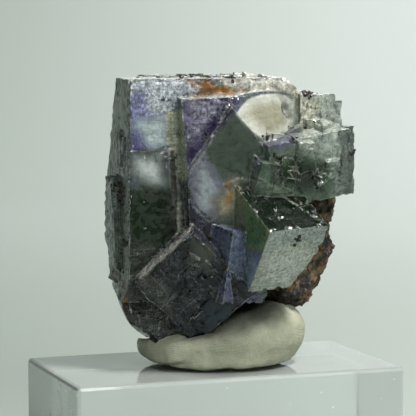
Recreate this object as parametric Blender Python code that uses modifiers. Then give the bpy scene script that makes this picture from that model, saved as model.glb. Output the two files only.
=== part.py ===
"""A fluorite specimen pressed into a pad of putty on a clear acrylic display block.

The origin is the centre of the block's underside. +X runs along the block's long side,
+Y goes away from its front and +Z is up. Lengths are in metres; the specimen's own tables
are in millimetres, in the specimen's frame, which starts at the middle of the block's top.
"""

import math
import random
from dataclasses import dataclass

import bmesh
import bpy
from mathutils import Matrix, Vector, noise

MM = 0.001

# Display block
BLOCK_LENGTH = 65 * MM
BLOCK_DEPTH = 35 * MM
BLOCK_HEIGHT = 20 * MM
BLOCK_EDGE = 0.7 * MM

# Space left between two pieces that touch
GAP = 0.3 * MM

# The specimen stands turned on the block
SPECIMEN_TURN = math.radians(-19.95)

# Putty pad, in the specimen's frame
PUTTY_MIDDLE = (1.3, -1.0)
PUTTY_HALF_WIDTH = 15.9
PUTTY_HALF_DEPTH = 11.8
PUTTY_HEIGHT_LEFT = 7.2
PUTTY_HEIGHT_RIGHT = 12.8
PUTTY_UNDERSIDE_ROUNDNESS = 0.24
PUTTY_TOP_ROUNDNESS = 0.50
PUTTY_LEAN = 1.9

# Steps and small cubes grown on the larger crystals
GROWTH_SEED = 11
GROWTH_ROOT = 2.5


@dataclass
class Cube:
    """One cube-like crystal, in millimetres and degrees.

    corner is its front, left, top corner. turn is its heading, its nod towards the front and
    its clockwise roll. Each cut is a plane given by a normal along the crystal's own axes and
    a distance from its middle.
    """

    corner: tuple
    size: tuple
    turn: tuple = (0, 0, 0)
    cuts: tuple = ()

    def axes(self):
        heading, nod, roll = (math.radians(angle) for angle in self.turn)
        return Matrix.Rotation(heading, 3, "Z") @ Matrix.Rotation(nod, 3, "X") @ Matrix.Rotation(roll, 3, "Y")

    def at(self, across, back, up):
        """The point at these fractions of the half sizes, each from -1 to 1."""
        half = Vector(self.size) / 2
        middle = Vector(self.corner) - self.axes() @ Vector((-half.x, -half.y, half.z))
        return middle + self.axes() @ Vector((across * half.x, back * half.y, up * half.z))


CRYSTALS = {
    "main": Cube(
        (-15.9, -10.0, 55.0), (33.5, 24, 42), (14, 0, 0),
        (((-0.70, 0.62, 0.30), 18.6), ((0.8, -0.1, -0.6), 16.5), ((-0.95, 0.13, -0.29), 20.7)),
    ),
    "main_plate": Cube((-15.62, -10.5, 54.9), (10.5, 3, 13.5), (14, 0, 0), (((0.25, 0, -1), 6.2),)),
    "bulge": Cube((-19.4, -2.0, 35.9), (12, 6, 21), (16, 0, -2), (((-0.9, -0.3, -0.7), 9.4),)),
    "centre": Cube(
        (-5.5, -13.5, 51.1), (21.8, 15, 26), (15, 6, -4),
        (((0.02, 0.2, 1), 12.6), ((-0.23, -0.95, 0.19), 9.7), ((0.43, -0.84, 0.33), 9.2)),
    ),
    "right_low": Cube((10.3, -19.0, 27.4), (13.2, 19, 14.5), (33, 33, -2), (((0.67, -0.69, -0.27), 10.5),)),
    "violet": Cube((3.6, -14.2, 27.0), (11, 12, 14), (40, 8, 4)),
    "foot": Cube((-3.9, -15.0, 26.9), (17, 14, 15), (0, 14, 47)),
    "foot_left": Cube((-16.4, -8.0, 16.3), (14, 14, 11.5), (6, -4, -6), (((-0.8, -0.2, -0.9), 7.1),)),
    "shoulder": Cube((10.1, -11.0, 42.6), (17, 16, 13), (24, 12, -10)),
    "shoulder_top": Cube((16.4, -3.0, 52.0), (7.4, 13, 14), (22, 2, 0)),
    "step_upper": Cube((19.9, -1.0, 50.6), (5.2, 9, 12), (24, 0, 0)),
    "step_right": Cube((23.2, 0.0, 45.7), (4.3, 10, 13.3), (24, 0, 0)),
    "lobe": Cube((9.1, -12.0, 39.5), (12.5, 14, 10.5), (26, 20, 8)),
    "back_high": Cube((-10.0, 8.0, 52.0), (16, 14, 16), (-12, -8, 5)),
    "back_middle": Cube((3.0, 9.0, 43.0), (15, 13, 15), (20, -14, -8)),
    "back_low": Cube((-15.0, 5.0, 31.0), (13, 13, 14), (8, -10, 12)),
    "back_foot": Cube((-9.0, 9.0, 21.0), (11, 9, 10), (-24, 8, 20)),
}

# Growth on the crystals' faces: flat steps turned like their crystal, and small cubes tilted at random.
# crystal, face, how many, sides from and to, how far they stand out from and to, most tilt in degrees
GROWTH = (
    ("main", "front", 7, (3.0, 8.0), (0.20, 0.55), 0),
    ("main", "left", 5, (2.5, 7.0), (0.20, 0.50), 0),
    ("main", "top", 8, (2.5, 7.5), (0.25, 0.70), 0),
    ("main", "top", 6, (1.6, 3.2), (0.30, 0.60), 14),
    ("main", "right", 5, (3.0, 6.0), (0.40, 1.00), 12),
    ("main", "back", 6, (3.5, 8.0), (0.30, 0.80), 0),
    ("main", "back", 5, (2.5, 5.0), (0.60, 1.40), 22),
    ("foot", "front", 6, (2.0, 4.5), (0.25, 0.60), 0),
    ("foot", "front", 6, (1.8, 3.6), (0.35, 0.80), 20),
    ("foot_left", "front", 4, (2.0, 4.5), (0.30, 0.70), 15),
    ("right_low", "right", 3, (2.5, 5.0), (0.15, 0.35), 0),
    ("shoulder", "front", 7, (2.2, 5.0), (0.50, 1.20), 24),
    ("shoulder", "top", 5, (2.0, 4.0), (0.40, 0.90), 20),
    ("shoulder_top", "front", 5, (2.0, 4.0), (0.40, 0.90), 20),
    ("step_right", "front", 2, (1.8, 3.2), (0.30, 0.60), 12),
    ("step_right", "right", 4, (2.0, 4.0), (0.30, 0.70), 10),
    ("lobe", "front", 4, (2.5, 4.5), (0.40, 0.90), 24),
    ("back_high", "back", 4, (3.0, 6.0), (0.30, 0.90), 10),
    ("back_middle", "back", 4, (3.0, 6.0), (0.30, 0.90), 10),
    ("back_low", "back", 3, (3.0, 5.0), (0.30, 0.80), 10),
)

# The outward direction of each face, in the crystal's own axes
FACES = {
    "front": Vector((0, -1, 0)),
    "back": Vector((0, 1, 0)),
    "left": Vector((-1, 0, 0)),
    "right": Vector((1, 0, 0)),
    "top": Vector((0, 0, 1)),
}

# Lumps of rock: middle and half sizes, in millimetres in the specimen's frame
ROCK_LUMPS = (
    ((16.6, 7.0, 23.0), (6.6, 8.5, 8.5)),
    ((12.6, 5.0, 15.5), (7.6, 9.5, 6.0)),
    ((19.6, 9.0, 30.0), (4.6, 6.0, 5.5)),
    ((3.0, 8.0, 12.5), (12.5, 9.0, 5.6)),
    ((10.5, 17.0, 22.5), (10.5, 7.5, 10.0)),
)
ROCK_ROUGHNESS = 0.16


def clear_scene():
    for obj in list(bpy.data.objects):
        bpy.data.objects.remove(obj, do_unlink=True)


def material(name, colour, roughness, alpha=1.0, transmission=0.0, ior=1.45):
    made = bpy.data.materials.new(name)
    made.use_nodes = True
    shader = made.node_tree.nodes["Principled BSDF"]
    shader.inputs["Base Color"].default_value = (*colour, 1)
    shader.inputs["Roughness"].default_value = roughness
    shader.inputs["Metallic"].default_value = 0
    shader.inputs["Alpha"].default_value = alpha
    shader.inputs["Transmission Weight"].default_value = transmission
    shader.inputs["IOR"].default_value = ior
    return made


def object_from(mesh_editor, name, collection):
    """A new object from a BMesh, which is freed."""
    mesh = bpy.data.meshes.new(name)
    bmesh.ops.recalc_face_normals(mesh_editor, faces=mesh_editor.faces)
    mesh_editor.to_mesh(mesh)
    mesh_editor.free()
    obj = bpy.data.objects.new(name, mesh)
    collection.objects.link(obj)
    return obj


def specimen_to_block():
    """From the specimen's frame in millimetres to the object's frame in metres."""
    lift = Matrix.Translation((0, 0, BLOCK_HEIGHT))
    return lift @ Matrix.Rotation(SPECIMEN_TURN, 4, "Z") @ Matrix.Scale(MM, 4)


def crystal_solid(cube, name, collection, grown=0.0):
    """The crystal as a closed solid, every face moved outwards by grown (millimetres)."""
    solid = bmesh.new()
    bmesh.ops.create_cube(solid, size=1)
    size = Vector(cube.size) + 2 * Vector((grown, grown, grown))
    bmesh.ops.scale(solid, vec=size, verts=solid.verts)
    for normal, distance in cube.cuts:
        outward = Vector(normal).normalized()
        parts = solid.verts[:] + solid.edges[:] + solid.faces[:]
        bmesh.ops.bisect_plane(
            solid, geom=parts, plane_co=outward * (distance + grown), plane_no=outward, clear_outer=True
        )
        open_edges = [edge for edge in solid.edges if edge.is_boundary]
        bmesh.ops.holes_fill(solid, edges=open_edges, sides=0)
    place = Matrix.Translation(cube.at(0, 0, 0)) @ cube.axes().to_4x4()
    bmesh.ops.transform(solid, matrix=specimen_to_block() @ place, verts=solid.verts)
    return object_from(solid, name, collection)


def growth():
    """The small crystals of GROWTH, each rooted in the face that it stands on."""
    chance = random.Random(GROWTH_SEED)
    found = {}
    for row, (parent_name, side, count, sides, heights, tilt) in enumerate(GROWTH):
        parent = CRYSTALS[parent_name]
        outward = FACES[side]
        for number in range(count):
            wide, tall, proud = chance.uniform(*sides), chance.uniform(*sides), chance.uniform(*heights)
            across, along = chance.uniform(-0.66, 0.66), chance.uniform(-0.66, 0.66)
            deep = GROWTH_ROOT + proud
            if side in ("front", "back"):
                seat, size = parent.at(across, outward.y, along), (wide, deep, tall)
            elif side in ("left", "right"):
                seat, size = parent.at(outward.x, across, along), (deep, wide, tall)
            else:
                seat, size = parent.at(across, along, outward.z), (wide, tall, deep)
            turn = tuple(angle + chance.uniform(-tilt, tilt) for angle in parent.turn)
            middle = seat + parent.axes() @ (outward * (proud - deep / 2))
            small = Cube(tuple(middle), size, turn)
            to_corner = small.axes() @ Vector((-size[0] / 2, -size[1] / 2, size[2] / 2))
            small.corner = tuple(middle + to_corner)
            found[f"{parent_name}_{side}_{row}_{number}"] = small
    return found


def boolean(obj, other, operation):
    modifier = obj.modifiers.new(f"{operation.lower()} {other.name}", "BOOLEAN")
    modifier.operation = operation
    modifier.solver = "EXACT"
    modifier.object = other


def baked(obj, keep_largest=False):
    """Gives the object its evaluated mesh and drops its modifiers."""
    bpy.context.view_layer.update()
    graph = bpy.context.evaluated_depsgraph_get()
    mesh = bpy.data.meshes.new_from_object(obj.evaluated_get(graph))
    obj.modifiers.clear()
    obj.data = mesh
    if keep_largest:
        remove_crumbs(mesh)


def remove_crumbs(mesh):
    """Keeps only the largest of the mesh's separate bodies."""
    editor = bmesh.new()
    editor.from_mesh(mesh)
    left = set(editor.verts)
    bodies = []
    while left:
        body, edge_of_search = set(), [left.pop()]
        while edge_of_search:
            vert = edge_of_search.pop()
            body.add(vert)
            for edge in vert.link_edges:
                other = edge.other_vert(vert)
                if other in left:
                    left.remove(other)
                    edge_of_search.append(other)
        bodies.append(body)
    bodies.sort(key=len)
    for body in bodies[:-1]:
        bmesh.ops.delete(editor, geom=list(body), context="VERTS")
    editor.to_mesh(mesh)
    editor.free()


def fused(solids, name):
    """One solid from several that overlap."""
    first, *others = solids
    for other in others:
        boolean(first, other, "UNION")
    baked(first)
    for other in others:
        bpy.data.objects.remove(other, do_unlink=True)
    first.name = first.data.name = name
    return first


def cluster(name, collection, grown=0.0):
    cubes = CRYSTALS | growth()
    solids = [crystal_solid(cube, cube_name, collection, grown) for cube_name, cube in cubes.items()]
    return fused(solids, name)


def rock_lump(middle, half_sizes, name, collection, grown=0.0):
    """A rough ball stretched to the half sizes, with hollows and knobs from smooth noise."""
    lump = bmesh.new()
    bmesh.ops.create_icosphere(lump, subdivisions=3, radius=1)
    for vert in lump.verts:
        way = vert.co.normalized()
        stretched = Vector(way[axis] * half_sizes[axis] for axis in range(3))
        place = Vector(middle) + stretched
        swell = ROCK_ROUGHNESS * (noise.noise(place * 0.28) + 0.6 * noise.noise(place * 0.75))
        vert.co = Vector(middle) + stretched * (1 + swell) + way * grown
    bmesh.ops.transform(lump, matrix=specimen_to_block(), verts=lump.verts)
    return object_from(lump, name, collection)


def rock(name, collection, grown=0.0):
    solids = [
        rock_lump(middle, half_sizes, f"{name}_{number}", collection, grown)
        for number, (middle, half_sizes) in enumerate(ROCK_LUMPS)
    ]
    return fused(solids, name)


def putty_pad(collection):
    """A squeezed pad, higher on the right, with a rounded rim that overhangs its foot a little."""
    pad = bmesh.new()
    bmesh.ops.create_uvsphere(pad, u_segments=56, v_segments=20, radius=1)
    for vert in pad.verts:
        way = vert.co.normalized()
        angle = math.atan2(way.y, way.x)
        reach = 1 + 0.035 * math.sin(2 * angle + 0.6) + 0.02 * math.sin(5 * angle)
        roundness = PUTTY_TOP_ROUNDNESS if way.z > 0 else PUTTY_UNDERSIDE_ROUNDNESS
        reach *= way.xy.length**roundness
        x = PUTTY_MIDDLE[0] + PUTTY_HALF_WIDTH * reach * math.cos(angle)
        y = PUTTY_MIDDLE[1] + PUTTY_HALF_DEPTH * reach * math.sin(angle)
        to_right = min(1.0, max(0.0, 0.5 + (x - PUTTY_MIDDLE[0]) / (1.2 * PUTTY_HALF_WIDTH)))
        height = PUTTY_HEIGHT_LEFT + (PUTTY_HEIGHT_RIGHT - PUTTY_HEIGHT_LEFT) * to_right**PUTTY_LEAN
        vert.co = Vector((x, y, GAP / MM + height * (1 + way.z) / 2))
    bmesh.ops.transform(pad, matrix=specimen_to_block(), verts=pad.verts)
    return object_from(pad, "putty", collection)


def display_block(collection):
    block = bmesh.new()
    bmesh.ops.create_cube(block, size=1)
    bmesh.ops.scale(block, vec=(BLOCK_LENGTH, BLOCK_DEPTH, BLOCK_HEIGHT), verts=block.verts)
    bmesh.ops.translate(block, vec=(0, 0, BLOCK_HEIGHT / 2), verts=block.verts)
    obj = object_from(block, "acrylic_block", collection)
    edge = obj.modifiers.new("polished edge", "BEVEL")
    edge.width = BLOCK_EDGE
    edge.segments = 2
    edge.limit_method = "ANGLE"
    return obj


def as_cutter(obj):
    obj.hide_render = True
    obj.display_type = "WIRE"


def main():
    clear_scene()
    parts = bpy.data.collections.new("fluorite specimen on its block")
    cutters = bpy.data.collections.new("cutters")
    for collection in (parts, cutters):
        bpy.context.scene.collection.children.link(collection)

    block = display_block(parts)
    fluorite = cluster("fluorite_cluster", parts)
    matrix = rock("matrix_rock", parts)
    putty = putty_pad(parts)

    cluster_space = cluster("cluster_space", cutters, grown=GAP / MM)
    rock_space = rock("rock_space", cutters, grown=GAP / MM)
    for cutter in (cluster_space, rock_space):
        as_cutter(cutter)
    boolean(matrix, cluster_space, "DIFFERENCE")
    baked(matrix, keep_largest=True)
    boolean(putty, rock_space, "DIFFERENCE")
    boolean(putty, cluster_space, "DIFFERENCE")
    baked(putty, keep_largest=True)
    putty.data.shade_smooth()

    fluorite.data.materials.append(
        material("fluorite", (0.34, 0.40, 0.42), 0.12, alpha=0.85, transmission=0.5, ior=1.434)
    )
    matrix.data.materials.append(material("matrix_rock", (0.10, 0.06, 0.04), 0.9))
    putty.data.materials.append(material("putty", (0.47, 0.47, 0.40), 0.8))
    block.data.materials.append(
        material("acrylic_block", (0.86, 0.90, 0.88), 0.03, alpha=0.35, transmission=1.0, ior=1.49)
    )


main()
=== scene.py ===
"""The looks of a fluorite specimen: crystals grown on rock, in a putty pad on a clear block."""

import math

import bmesh
import bpy
import numpy as np
from bpy.props import FloatProperty, FloatVectorProperty, IntProperty, PointerProperty
from mathutils import Matrix, Vector, noise
from mathutils.kdtree import KDTree


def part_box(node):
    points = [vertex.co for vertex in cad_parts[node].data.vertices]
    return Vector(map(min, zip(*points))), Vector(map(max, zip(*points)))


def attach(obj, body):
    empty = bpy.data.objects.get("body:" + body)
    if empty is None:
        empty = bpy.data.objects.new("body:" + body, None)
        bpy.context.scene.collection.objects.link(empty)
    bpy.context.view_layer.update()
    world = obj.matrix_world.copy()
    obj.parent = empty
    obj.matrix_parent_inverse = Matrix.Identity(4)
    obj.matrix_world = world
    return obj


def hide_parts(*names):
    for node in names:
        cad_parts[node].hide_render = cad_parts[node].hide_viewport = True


bl_info = {
    "name": "Fluorite specimen",
    "version": (1, 0, 0),
    "blender": (4, 5, 0),
    "location": "View3D > Sidebar > Specimen",
    "description": "Builds the surfaces of a fluorite specimen on its display block",
    "category": "Object",
}

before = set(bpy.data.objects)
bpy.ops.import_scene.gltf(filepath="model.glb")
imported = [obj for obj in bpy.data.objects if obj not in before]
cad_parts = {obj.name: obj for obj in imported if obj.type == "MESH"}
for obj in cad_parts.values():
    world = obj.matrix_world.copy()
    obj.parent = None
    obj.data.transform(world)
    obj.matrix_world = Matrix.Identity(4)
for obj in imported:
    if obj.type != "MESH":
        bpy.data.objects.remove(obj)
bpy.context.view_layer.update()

MM = 0.001
BLOCK_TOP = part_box("acrylic_block")[1][2]

# The specimen's own frame, in millimetres, starts at the middle of the block's top and is turned on the block
SPECIMEN_TURN = math.radians(-19.95)
SPECIMEN_PLACE = (
    Matrix.Translation((0, 0, BLOCK_TOP)) @ Matrix.Rotation(SPECIMEN_TURN, 4, "Z") @ Matrix.Scale(MM, 4)
)

# The camera, in the specimen's frame: it looks along +Y, a little down
CAMERA_SPOT = Vector((-1.09, -392.02, 67.0))
CAMERA_PITCH = math.radians(5.395)
CAMERA_LENS = 177.4
CAMERA_SENSOR = 36.0

# Welding distance in millimetres and the angle past which an edge of the crystals or the rock stays sharp
WELD_GAP = 0.002
SHARP_ANGLE = math.radians(24)

# The distance noted, in millimetres, where a pane or a line isn't near
FAR = 20.0

# The middle of a noise texture's colour
MIDDLE = (0.5, 0.5, 0.5)


def display(red, green, blue):
    """A linear colour from the 0 to 255 values that a screen shows."""
    shares = (red / 255, green / 255, blue / 255)
    return tuple(v / 12.92 if v <= 0.04045 else ((v + 0.055) / 1.055) ** 2.4 for v in shares)


class Sheet:
    """Short calls for filling one node tree."""

    def __init__(self, tree):
        self.tree = tree
        self.column = 0

    def add(self, kind, inputs=None, **settings):
        node = self.tree.nodes.new(kind)
        node.location = (self.column * 190, -(self.column % 5) * 160)
        self.column += 1
        for name, value in settings.items():
            setattr(node, name, value)
        for key, value in (inputs or {}).items():
            self.give(node.inputs[key], value)
        return node

    def give(self, socket, value):
        if isinstance(value, bpy.types.NodeSocket):
            self.tree.links.new(value, socket)
        elif socket.type == "RGBA" and len(value) == 3:
            socket.default_value = (*value, 1)
        else:
            socket.default_value = value

    def math(self, operation, a, b=None):
        inputs = {0: a} if b is None else {0: a, 1: b}
        return self.add("ShaderNodeMath", inputs, operation=operation).outputs[0]

    def plus(self, a, b):
        return self.math("ADD", a, b)

    def times(self, a, b):
        return self.math("MULTIPLY", a, b)

    def vector_math(self, operation, a, b):
        return self.add("ShaderNodeVectorMath", {0: a, 1: b}, operation=operation).outputs[0]

    def mix(self, share, under, over):
        node = self.add("ShaderNodeMix", data_type="RGBA", clamp_factor=True)
        self.give(node.inputs["Factor"], share)
        self.give(node.inputs[6], under)
        self.give(node.inputs[7], over)
        return node.outputs[2]

    def step(self, value, low, high, start=0.0, end=1.0):
        inputs = {"Value": value, "From Min": low, "From Max": high, "To Min": start, "To Max": end}
        return self.add("ShaderNodeMapRange", inputs, interpolation_type="SMOOTHSTEP").outputs[0]

    def noise(self, place, per_mm, detail=3.0, roughness=0.55, distortion=0.0):
        inputs = {
            "Vector": place, "Scale": per_mm, "Detail": detail, "Roughness": roughness,
            "Distortion": distortion,
        }
        return self.add("ShaderNodeTexNoise", inputs).outputs[0]

    def read(self, name):
        return self.add("ShaderNodeAttribute", attribute_name=name, attribute_type="GEOMETRY").outputs["Fac"]

    def group(self, name, inputs):
        node = self.add("ShaderNodeGroup", node_tree=bpy.data.node_groups[name])
        for key, value in inputs.items():
            self.give(node.inputs[key], value)
        return node.outputs


def new_group(name, kind, inputs, outputs):
    """A node group with these sockets: (its sheet, its inputs, its output node)."""
    tree = bpy.data.node_groups.new(name, kind)
    for side, sockets in (("INPUT", inputs), ("OUTPUT", outputs)):
        for socket_name, socket_kind, default in sockets:
            socket = tree.interface.new_socket(socket_name, in_out=side, socket_type=socket_kind)
            if default is not None:
                socket.default_value = default
    sheet = Sheet(tree)
    return sheet, sheet.add("NodeGroupInput").outputs, sheet.add("NodeGroupOutput")


def new_material(name):
    """(material, its sheet, its shader, places in millimetres from the object's own coordinates)."""
    made = bpy.data.materials.new(name)
    made.use_nodes = True
    sheet = Sheet(made.node_tree)
    shader = made.node_tree.nodes["Principled BSDF"]
    place = sheet.add("ShaderNodeTexCoord").outputs["Object"]
    place = sheet.add("ShaderNodeMapping", {"Vector": place, "Scale": (1000, 1000, 1000)}).outputs[0]
    return made, sheet, shader, place


def dress(sheet, shader, colour, roughness, relief=None, strength=1.0):
    """Gives a shader its colour, its roughness and a relief in millimetres."""
    sheet.give(shader.inputs["Base Color"], colour)
    sheet.give(shader.inputs["Roughness"], roughness)
    if relief is not None:
        bump = sheet.add("ShaderNodeBump", {"Strength": strength, "Distance": MM, "Height": relief})
        sheet.give(shader.inputs["Normal"], bump.outputs[0])


def make_shader_groups():
    """Effects that more than one material uses. Places are in millimetres."""
    value, colour, vector = "NodeSocketFloat", "NodeSocketColor", "NodeSocketVector"

    sheet, given, out = new_group(
        "Pane", "ShaderNodeTree",
        [
            ("Under", colour, None), ("Under Finish", vector, None), ("Depth Inside", value, 0.0),
            ("Wander", value, 0.0), ("Softness", value, 0.3), ("Rim", colour, None), ("Core", colour, None),
            ("Reach", value, 2.5), ("Texture", value, 0.5), ("Grain", value, 0.3), ("Finish", vector, None),
            ("Share", value, 1.0),
        ],
        [("Colour", colour, None), ("Finish", vector, None)],
    )
    depth = sheet.plus(given["Depth Inside"], given["Wander"])
    low = sheet.times(given["Softness"], -1.0)
    mask = sheet.times(sheet.step(depth, low, given["Softness"]), given["Share"])
    own = sheet.mix(sheet.step(depth, 0.0, given["Reach"]), given["Rim"], given["Core"])
    swing = sheet.times(sheet.math("SUBTRACT", given["Texture"], 0.5), given["Grain"])
    tone = sheet.plus(sheet.times(swing, 2.0), 1.0)
    own = sheet.add("ShaderNodeVectorMath", {0: own, "Scale": tone}, operation="SCALE").outputs[0]
    sheet.give(out.inputs["Colour"], sheet.mix(mask, given["Under"], own))
    finish = sheet.add("ShaderNodeMix", data_type="VECTOR")
    sheet.give(finish.inputs["Factor"], mask)
    sheet.give(finish.inputs[4], given["Under Finish"])
    sheet.give(finish.inputs[5], given["Finish"])
    sheet.give(out.inputs["Finish"], finish.outputs[1])

    # Scattered round spots: painted highlight glints on the crystals, real dust on the block.
    sheet, given, out = new_group(
        "Painted Glints And Dust", "ShaderNodeTree",
        [("Place", vector, None), ("Per mm", value, 2.0), ("Share", value, 0.2), ("Radius", value, 0.3)],
        [("Mask", value, None)],
    )
    spots = sheet.add("ShaderNodeTexVoronoi", {"Vector": given["Place"], "Scale": given["Per mm"]})
    chance = sheet.add("ShaderNodeSeparateColor", {"Color": spots.outputs["Color"]}).outputs[0]
    chosen = sheet.math("LESS_THAN", chance, given["Share"])
    near = sheet.step(spots.outputs["Distance"], given["Radius"], 0.0)
    sheet.give(out.inputs["Mask"], sheet.times(chosen, near))

    sheet, given, out = new_group(
        "Facets", "ShaderNodeTree",
        [("Place", vector, None), ("Per mm", value, 1.0), ("Tilt", value, 0.3)],
        [("Height", value, None), ("Chance", value, None)],
    )
    cells = sheet.add("ShaderNodeTexVoronoi", {"Vector": given["Place"], "Scale": given["Per mm"]})
    local = sheet.vector_math("SUBTRACT", given["Place"], cells.outputs["Position"])
    lean = sheet.vector_math("SUBTRACT", cells.outputs["Color"], MIDDLE)
    rise = sheet.add("ShaderNodeVectorMath", {0: local, 1: lean}, operation="DOT_PRODUCT")
    sheet.give(out.inputs["Height"], sheet.times(rise.outputs["Value"], given["Tilt"]))
    chance = sheet.add("ShaderNodeSeparateColor", {"Color": cells.outputs["Color"]}).outputs[1]
    sheet.give(out.inputs["Chance"], chance)

    sheet, given, out = new_group(
        "Hairlines", "ShaderNodeTree",
        [("Place", vector, None), ("Per mm", value, 0.3), ("Width", value, 0.02), ("Bend", value, 1.2)],
        [("Mask", value, None)],
    )
    bend = sheet.add("ShaderNodeTexNoise", {"Vector": given["Place"], "Scale": 0.35, "Detail": 3.0})
    centred = sheet.vector_math("SUBTRACT", bend.outputs["Color"], MIDDLE)
    bent = sheet.add("ShaderNodeVectorMath", {0: centred, "Scale": given["Bend"]}, operation="SCALE")
    moved = sheet.vector_math("ADD", given["Place"], bent.outputs[0])
    cells = {"Vector": moved, "Scale": given["Per mm"]}
    border = sheet.add("ShaderNodeTexVoronoi", cells, feature="DISTANCE_TO_EDGE").outputs["Distance"]
    sheet.give(out.inputs["Mask"], sheet.step(border, given["Width"], 0.0))

    sheet, given, out = new_group(
        "Mottle", "ShaderNodeTree",
        [
            ("Place", vector, None), ("Per mm", value, 0.3), ("Low", value, 0.35), ("High", value, 0.65),
            ("First", colour, None), ("Second", colour, None),
        ],
        [("Colour", colour, None), ("Mask", value, None)],
    )
    cloud = sheet.noise(given["Place"], given["Per mm"], detail=4.0, roughness=0.6, distortion=0.4)
    mask = sheet.step(cloud, given["Low"], given["High"])
    sheet.give(out.inputs["Colour"], sheet.mix(mask, given["First"], given["Second"]))
    sheet.give(out.inputs["Mask"], mask)


# The crystals' front, left, top corners, sizes in millimetres, and turns in degrees: heading, nod and roll
CRYSTALS = {
    "main": ((-15.9, -10.0, 55.0), (33.5, 24, 42), (14, 0, 0)),
    "bulge": ((-19.4, -2.0, 35.9), (12, 6, 21), (16, 0, -2)),
    "centre": ((-5.5, -13.5, 51.1), (21.8, 15, 26), (15, 6, -4)),
    "right_low": ((10.3, -19.0, 27.4), (13.2, 19, 14.5), (33, 33, -2)),
    "violet": ((3.6, -14.2, 27.0), (11, 12, 14), (40, 8, 4)),
    "foot": ((-3.9, -15.0, 26.9), (17, 14, 15), (0, 14, 47)),
    "foot_left": ((-16.4, -8.0, 16.3), (14, 14, 11.5), (6, -4, -6)),
    "shoulder": ((10.1, -11.0, 42.6), (17, 16, 13), (24, 12, -10)),
    "shoulder_top": ((16.4, -3.0, 52.0), (7.4, 13, 14), (22, 2, 0)),
    "step_upper": ((19.9, -1.0, 50.6), (5.2, 9, 12), (24, 0, 0)),
    "step_right": ((23.2, 0.0, 45.7), (4.3, 10, 13.3), (24, 0, 0)),
    "lobe": ((9.1, -12.0, 39.5), (12.5, 14, 10.5), (26, 20, 8)),
    "back_high": ((-10.0, 8.0, 52.0), (16, 14, 16), (-12, -8, 5)),
    "back_middle": ((3.0, 9.0, 43.0), (15, 13, 15), (20, -14, -8)),
    "back_low": ((-15.0, 5.0, 31.0), (13, 13, 14), (8, -10, 12)),
    "back_foot": ((-9.0, 9.0, 21.0), (11, 9, 10), (-24, 8, 20)),
}

# A plane that cuts the largest crystal's top right corner
CORNER_SPOT = Vector((15.3, 0.0, 53.5))
CORNER_SLOPE = Vector((0.68, 0.0, 0.73)).normalized()

# How far the left foot's side moves to the right at each height, in millimetres
FOOT_PROFILE = (
    (4.5, 2.6), (6.0, 1.4), (8.0, 0.0), (9.5, -0.8), (11.5, -1.4), (13.5, -1.5), (15.0, -0.6),
    (16.5, 0.0),
)

# The fold in the putty, from the front: its middle, its half size and its rise to the right
FOLD_SPOT = (-7.5, 1.2)
FOLD_SIZE = (1.9, 0.45)
FOLD_SLOPE = 0.15

# Painted shadow on the putty, standing in for the crystals' cast shadow, is thickest at this X of the
# block's, in millimetres. For each millimetre from it the crystals count as so much farther off.
PAINTED_SHADOW_MIDDLE = 6.0
PAINTED_SHADOW_FADE = 0.35


def crystal_frames():
    """Each crystal's axes, middle and half sizes."""
    frames = []
    for corner, size, turn in CRYSTALS.values():
        heading, nod, roll = (math.radians(angle) for angle in turn)
        axes = Matrix.Rotation(heading, 3, "Z") @ Matrix.Rotation(nod, 3, "X") @ Matrix.Rotation(roll, 3, "Y")
        half = Vector(size) / 2
        frames.append((axes, Vector(corner) - axes @ Vector((-half.x, -half.y, half.z)), half))
    return frames


def host_of(face, frames):
    """The crystal and the axis that a face belongs to, as three times the one's number plus the other's."""
    best = None
    centre = face.calc_center_median()
    for number, (axes, middle, half) in enumerate(frames):
        local = axes.transposed() @ (centre - middle)
        normal = axes.transposed() @ face.normal
        outside = max(0.0, *(abs(local[axis]) - half[axis] for axis in range(3)))
        side = max(range(3), key=lambda axis: abs(normal[axis]))
        score = outside + 12 * (1 - abs(normal[side]))
        if best is None or score < best[0]:
            best = (score, 3 * number + side)
    return best[1]


def pane(
    outline, rim, core, reach=2.5, soft=0.4, wander=0.5, grain=0.35, frost=0.0, wear=0.5, share=1.0, **where
):
    """A patch of colour seen on the front.

    outline is in millimetres across and up in the specimen's frame, as the camera sees it. rim and core are
    its screen colours at its border and from reach millimetres inside it. soft is how gradually it ends,
    wander how far its border strays, grain how strong its texture is, frost how etched it is, wear how pale
    its edges are, partly from wear and partly as a painted highlight along them, and share how much it
    covers.
    where may give facing, a direction and how nearly a face must look that way, on, the crystals that carry
    it, and behind, which adds the faces that the camera can't see.
    """
    return dict(
        outline=outline, rim=rim, core=core, reach=reach, soft=soft, wander=wander, grain=grain, frost=frost,
        wear=wear, share=share, **where,
    )


# Where black specks gather, seen from the front: across, up and radius
SPECK_SPOTS = (
    (10.2, 43.7, 0.9), (9.6, 24.2, 0.7), (16.1, 24.2, 0.7), (15.5, 22.6, 0.4), (17.8, 51.8, 0.9),
    (-18.5, 33.6, 1.4), (-17.8, 31.6, 0.9), (-6.2, 55.6, 0.8), (-3.6, 55.9, 0.8), (3.4, 54.6, 0.6),
    (-15.0, 15.7, 0.8), (-12.7, 15.7, 0.5), (-14.8, 10.7, 0.6), (15.3, 43.3, 0.6), (12.3, 40.0, 0.5),
    (26.6, 40.4, 0.9), (-8.2, 30.0, 0.5), (-8.0, 27.3, 0.6), (-0.6, 24.0, 0.7), (2.2, 18.9, 0.5),
    (5.5, 10.5, 0.6), (-17.0, 23.0, 0.5), (-9.9, 50.6, 0.4),
)

# How thickly stray specks lie elsewhere, as a share of their thickness at those spots
STRAY_SPECKS = 0.006

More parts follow.
